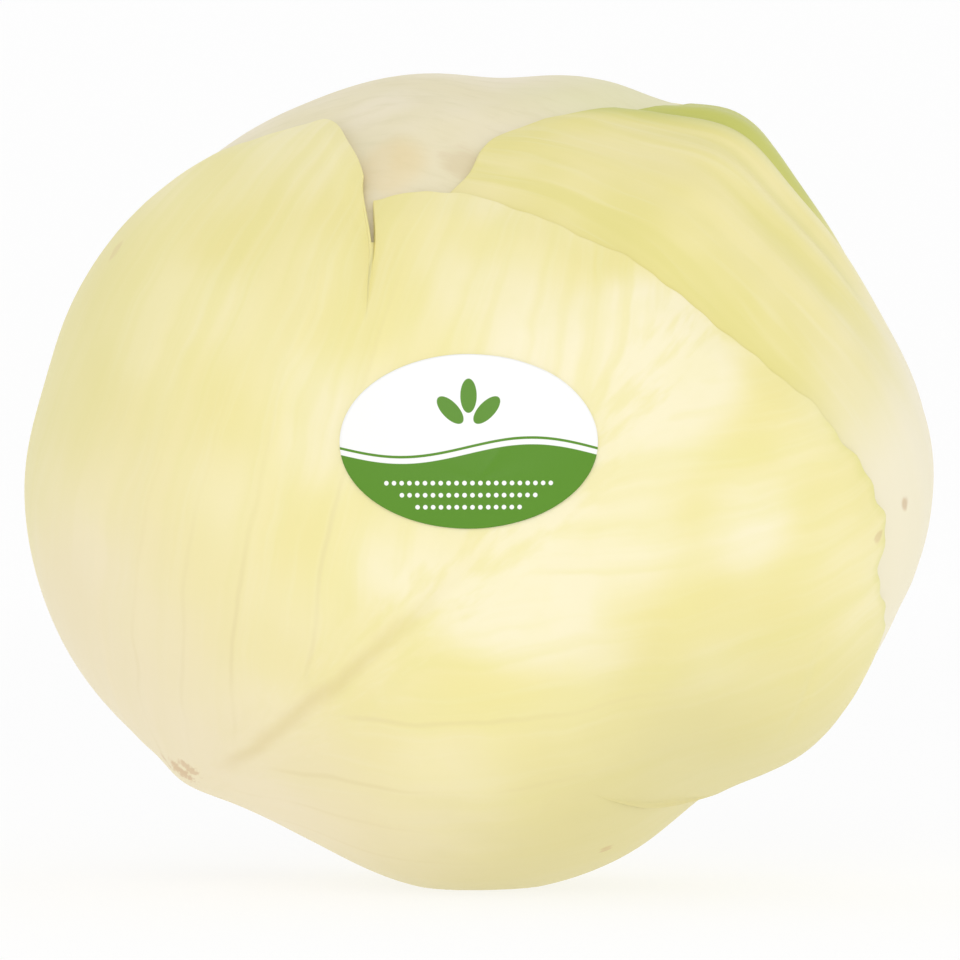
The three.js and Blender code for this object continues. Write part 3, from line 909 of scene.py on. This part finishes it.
wrapper_leaf, wire, place, along, across, rim, fold = leaf_wires("wrapper_leaf")
wide = across.maths("ABSOLUTE")
upper = across.ease(-9.0, 9.0)
wander = place.noise(18.0, 2.0)
branch = along - wide * (SLANT_BELOW + upper * (SLANT_ABOVE - SLANT_BELOW))
run = vector_of(wire, branch + wander * 9.0, wide * 0.13, upper * 40.0)
streak = run.noise(8.5, 3.0, 0.5)
fine = run.noise(2.6, 2.0)
patch = place.noise(28.0, 1.0, 0.4)
mottle = place.noise(9.0, 2.0, 0.5)
colour = patch.ease(0.3, 0.7).mix(shade(245, 235, 180), shade(240, 229, 158))
# Painted highlight: a broad paler patch over the middle of the leaf, where the front lamp's light falls
# strongest.
painted_middle_highlight = blemish_and_highlight(place, (164.0, 0.0), 52.0, patch)
colour = (painted_middle_highlight * 0.66).mix(colour, shade(250, 242, 214))
colour = (streak.ease(0.42, 0.66) * 0.45).mix(colour, shade(237, 228, 152))
colour = (fine.ease(0.45, 0.8) * 0.2).mix(colour, shade(249, 242, 206))
colour = (mottle.ease(0.42, 0.7) * 0.16).mix(colour, shade(238, 231, 160))
near_base = (along + wander * 16.0).ease(134.0, 70.0) * wide.ease(78.0, 40.0)
colour = (near_base * 0.75).mix(colour, shade(237, 223, 194))
# Painted shade: the front leaf is darker towards the bottom of the head, where less light falls.
bottom = (across + mottle * 10.0).ease(-10.0, -54.0) * along.ease(175.0, 125.0)
colour = (bottom * 0.75).mix(colour, shade(219, 209, 148))
left_edge = across.ease(46.0, 74.0) * along.ease(125.0, 90.0)
colour = (left_edge * 0.55).mix(colour, shade(227, 218, 152))
vein_lines = 0.0
for at, height in SIDE_VEINS[1:5]:
    off_vein = (branch + (wander - 0.5) * 6.0 - float(at)).maths("ABSOLUTE")
    vein_lines = off_vein.ease(1.3, 0.1) * (height * 1.7) + vein_lines
vein_lines = vein_lines * wide.ease(2.0, 8.0) * wide.ease(58.0, 16.0) * patch.ease(0.3, 0.6)
colour = vein_lines.mix(colour, shade(220, 203, 146))
# Painted shade: a dark olive line along the groove beside the midrib, where the crease lies in shade.
shifted = across - 0.6 + (place.noise(9.0, 2.0) - 0.5) * 3.0
groove = shifted.maths("ABSOLUTE").ease(2.6, 0.0) * along.ease(58.0, 74.0) * along.ease(140.0, 100.0)
colour = (groove * 0.36).mix(colour, shade(216, 196, 134))
right_side = across.ease(-12.0, -48.0) * along.ease(120.0, 150.0)
colour = ((rim + fine * 3.0).ease(4.5, 1.0) * right_side * 0.5).mix(colour, shade(224, 219, 132))
for spot, size, strength in BROWN_SPOTS:
    colour = (blemish_and_highlight(place, spot, size, fine) * strength).mix(colour, shade(202, 160, 108))
waxy_leaf(wire, colour, streak * 0.5 + fine * 0.25 + place.noise(1.3, 3.0) * 0.2, 0.40 + streak * 0.1)
make_leaf("front_wrap", "front_leaf",
          leaf_surface("front_leaf", 150, 420, front_relief, front_lift, front_frill), wrapper_leaf)


# ---- Paper label -------------------------------------------------------------------------------
# An oval sticker of coated paper, pressed onto the front leaf so that it takes the leaf's curve. It
# is printed with a green field under a wave, a hairline, three seed leaves and rows of dots.

# Sizes in mm: half width and half height, paper thickness, and the air under the paper.
LABEL_HALF = (21.9, 14.6)
LABEL_DIRECTION = (-0.023, -0.995, 0.087)
LABEL_PAPER = 0.14
LABEL_AIR = 0.22
# The print: rows of dots (height, dots either side of the middle) and seed leaves (lean in radians,
# place across and up, half sizes).
DOT_PITCH = 1.3
DOT_ROWS = ((-7.0, 11), (-9.0, 9), (-11.0, 7))
SEED_LEAVES = ((0.0, 0.0, 7.4), (0.75, -3.0, 5.0), (-0.75, 3.0, 5.0))
SEED_LEAF_HALF = (1.35, 2.9)
PRINT_GREEN = shade(84, 140, 4)
PAPER_WHITE = shade(250, 250, 248)


def label_surface(rings, sectors):
    """Rings from the middle of the oval to its edge, round the edge and back underneath, laid on
    the head radius. Returns points, poles, and each point's place on the label in mm."""
    middle = unit(np.array(LABEL_DIRECTION))
    right = unit(np.array([1.0, 0.0, 0.0]) - middle * middle[0])
    up = np.cross(middle, right)
    reach = head_radius(middle[None])[0]
    share = np.concatenate([np.linspace(0, 1, rings + 1)[1:], [1.0], np.linspace(1, 0, 7)[:-1]])
    level = np.concatenate([np.ones(rings), [0.5], np.zeros(6)])
    share, turn = np.meshgrid(share, np.arange(sectors) * 2 * np.pi / sectors, indexing="ij")
    level = np.broadcast_to(level[:, None], share.shape)

    def lay(x, y, level):
        d = unit(middle + right * (x / reach)[..., None] + up * (y / reach)[..., None])
        return to_place(d, head_radius(d) + LABEL_AIR + LABEL_PAPER * level)

    swell = 1 + 0.002 * bell((level - 0.5) / 0.2)
    x = share * swell * LABEL_HALF[0] * np.cos(turn)
    y = share * swell * LABEL_HALF[1] * np.sin(turn)
    zero = np.zeros(1)
    poles = (lay(zero, zero, zero + 1)[0], lay(zero, zero, zero)[0])
    spot = np.stack([np.append(x, [0, 0]), np.append(y, [0, 0]), np.zeros(x.size + 2)], axis=-1)
    return lay(x, y, level), poles, spot


label_paper, wire = new_material("label_paper")
place = wire.node("ShaderNodeAttribute", {"attribute_name": "label_place"}, {}, out=1)
across = wire.node("ShaderNodeSeparateXYZ", {}, {"Vector": place}, out=0)
up = wire.node("ShaderNodeSeparateXYZ", {}, {"Vector": place}, out=1)
wave = (across * 0.145).maths("SINE") * 1.6 - 2.2
field = (up - wave).ease(0.06, -0.06)
hairline = (up - wave - 1.1).maths("ABSOLUTE").ease(0.26, 0.18)
colour = field.mix(PAPER_WHITE, PRINT_GREEN)
colour = hairline.mix(colour, PRINT_GREEN)
for lean, aside, height in SEED_LEAVES:
    x = (across - aside) * float(np.cos(lean)) + (up - height) * float(np.sin(lean))
    y = (up - height) * float(np.cos(lean)) - (across - aside) * float(np.sin(lean))
    seed_leaf = ((x / SEED_LEAF_HALF[0]) ** 2.0 + (y / SEED_LEAF_HALF[1]) ** 2.0).ease(1.05, 0.95)
    colour = seed_leaf.mix(colour, PRINT_GREEN)
for row, half_count in DOT_ROWS:
    in_pitch = (across / DOT_PITCH).maths("FRACT").maths("ABSOLUTE") - 0.5
    dot = ((in_pitch * DOT_PITCH) ** 2.0 + (up - row) ** 2.0).maths("SQRT").ease(0.42, 0.34)
    half_row = half_count * DOT_PITCH
    colour = (dot * across.maths("ABSOLUTE").ease(half_row + 0.02, half_row)).mix(colour, PAPER_WHITE)
print_bump = wire.node("ShaderNodeBump", {}, {
    "Strength": 0.1, "Distance": 0.0001, "Height": place.noise(0.5, 2.0)})
finish_material(wire, wire.node("ShaderNodeBsdfPrincipled", {}, {
    "Base Color": colour, "Roughness": 0.4, "Normal": print_bump}))
label_points, label_poles, label_spots = label_surface(rings=40, sectors=128)
label_mesh = grid_mesh("oval_sticker", label_points, label_poles)
label_mesh.attributes.new("label_place", "FLOAT_VECTOR", "POINT").data.foreach_set(
    "vector", label_spots.astype(np.float32).ravel())
label = place_object("oval_sticker", label_mesh, label_paper)
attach(label, "root")
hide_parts("paper_label")
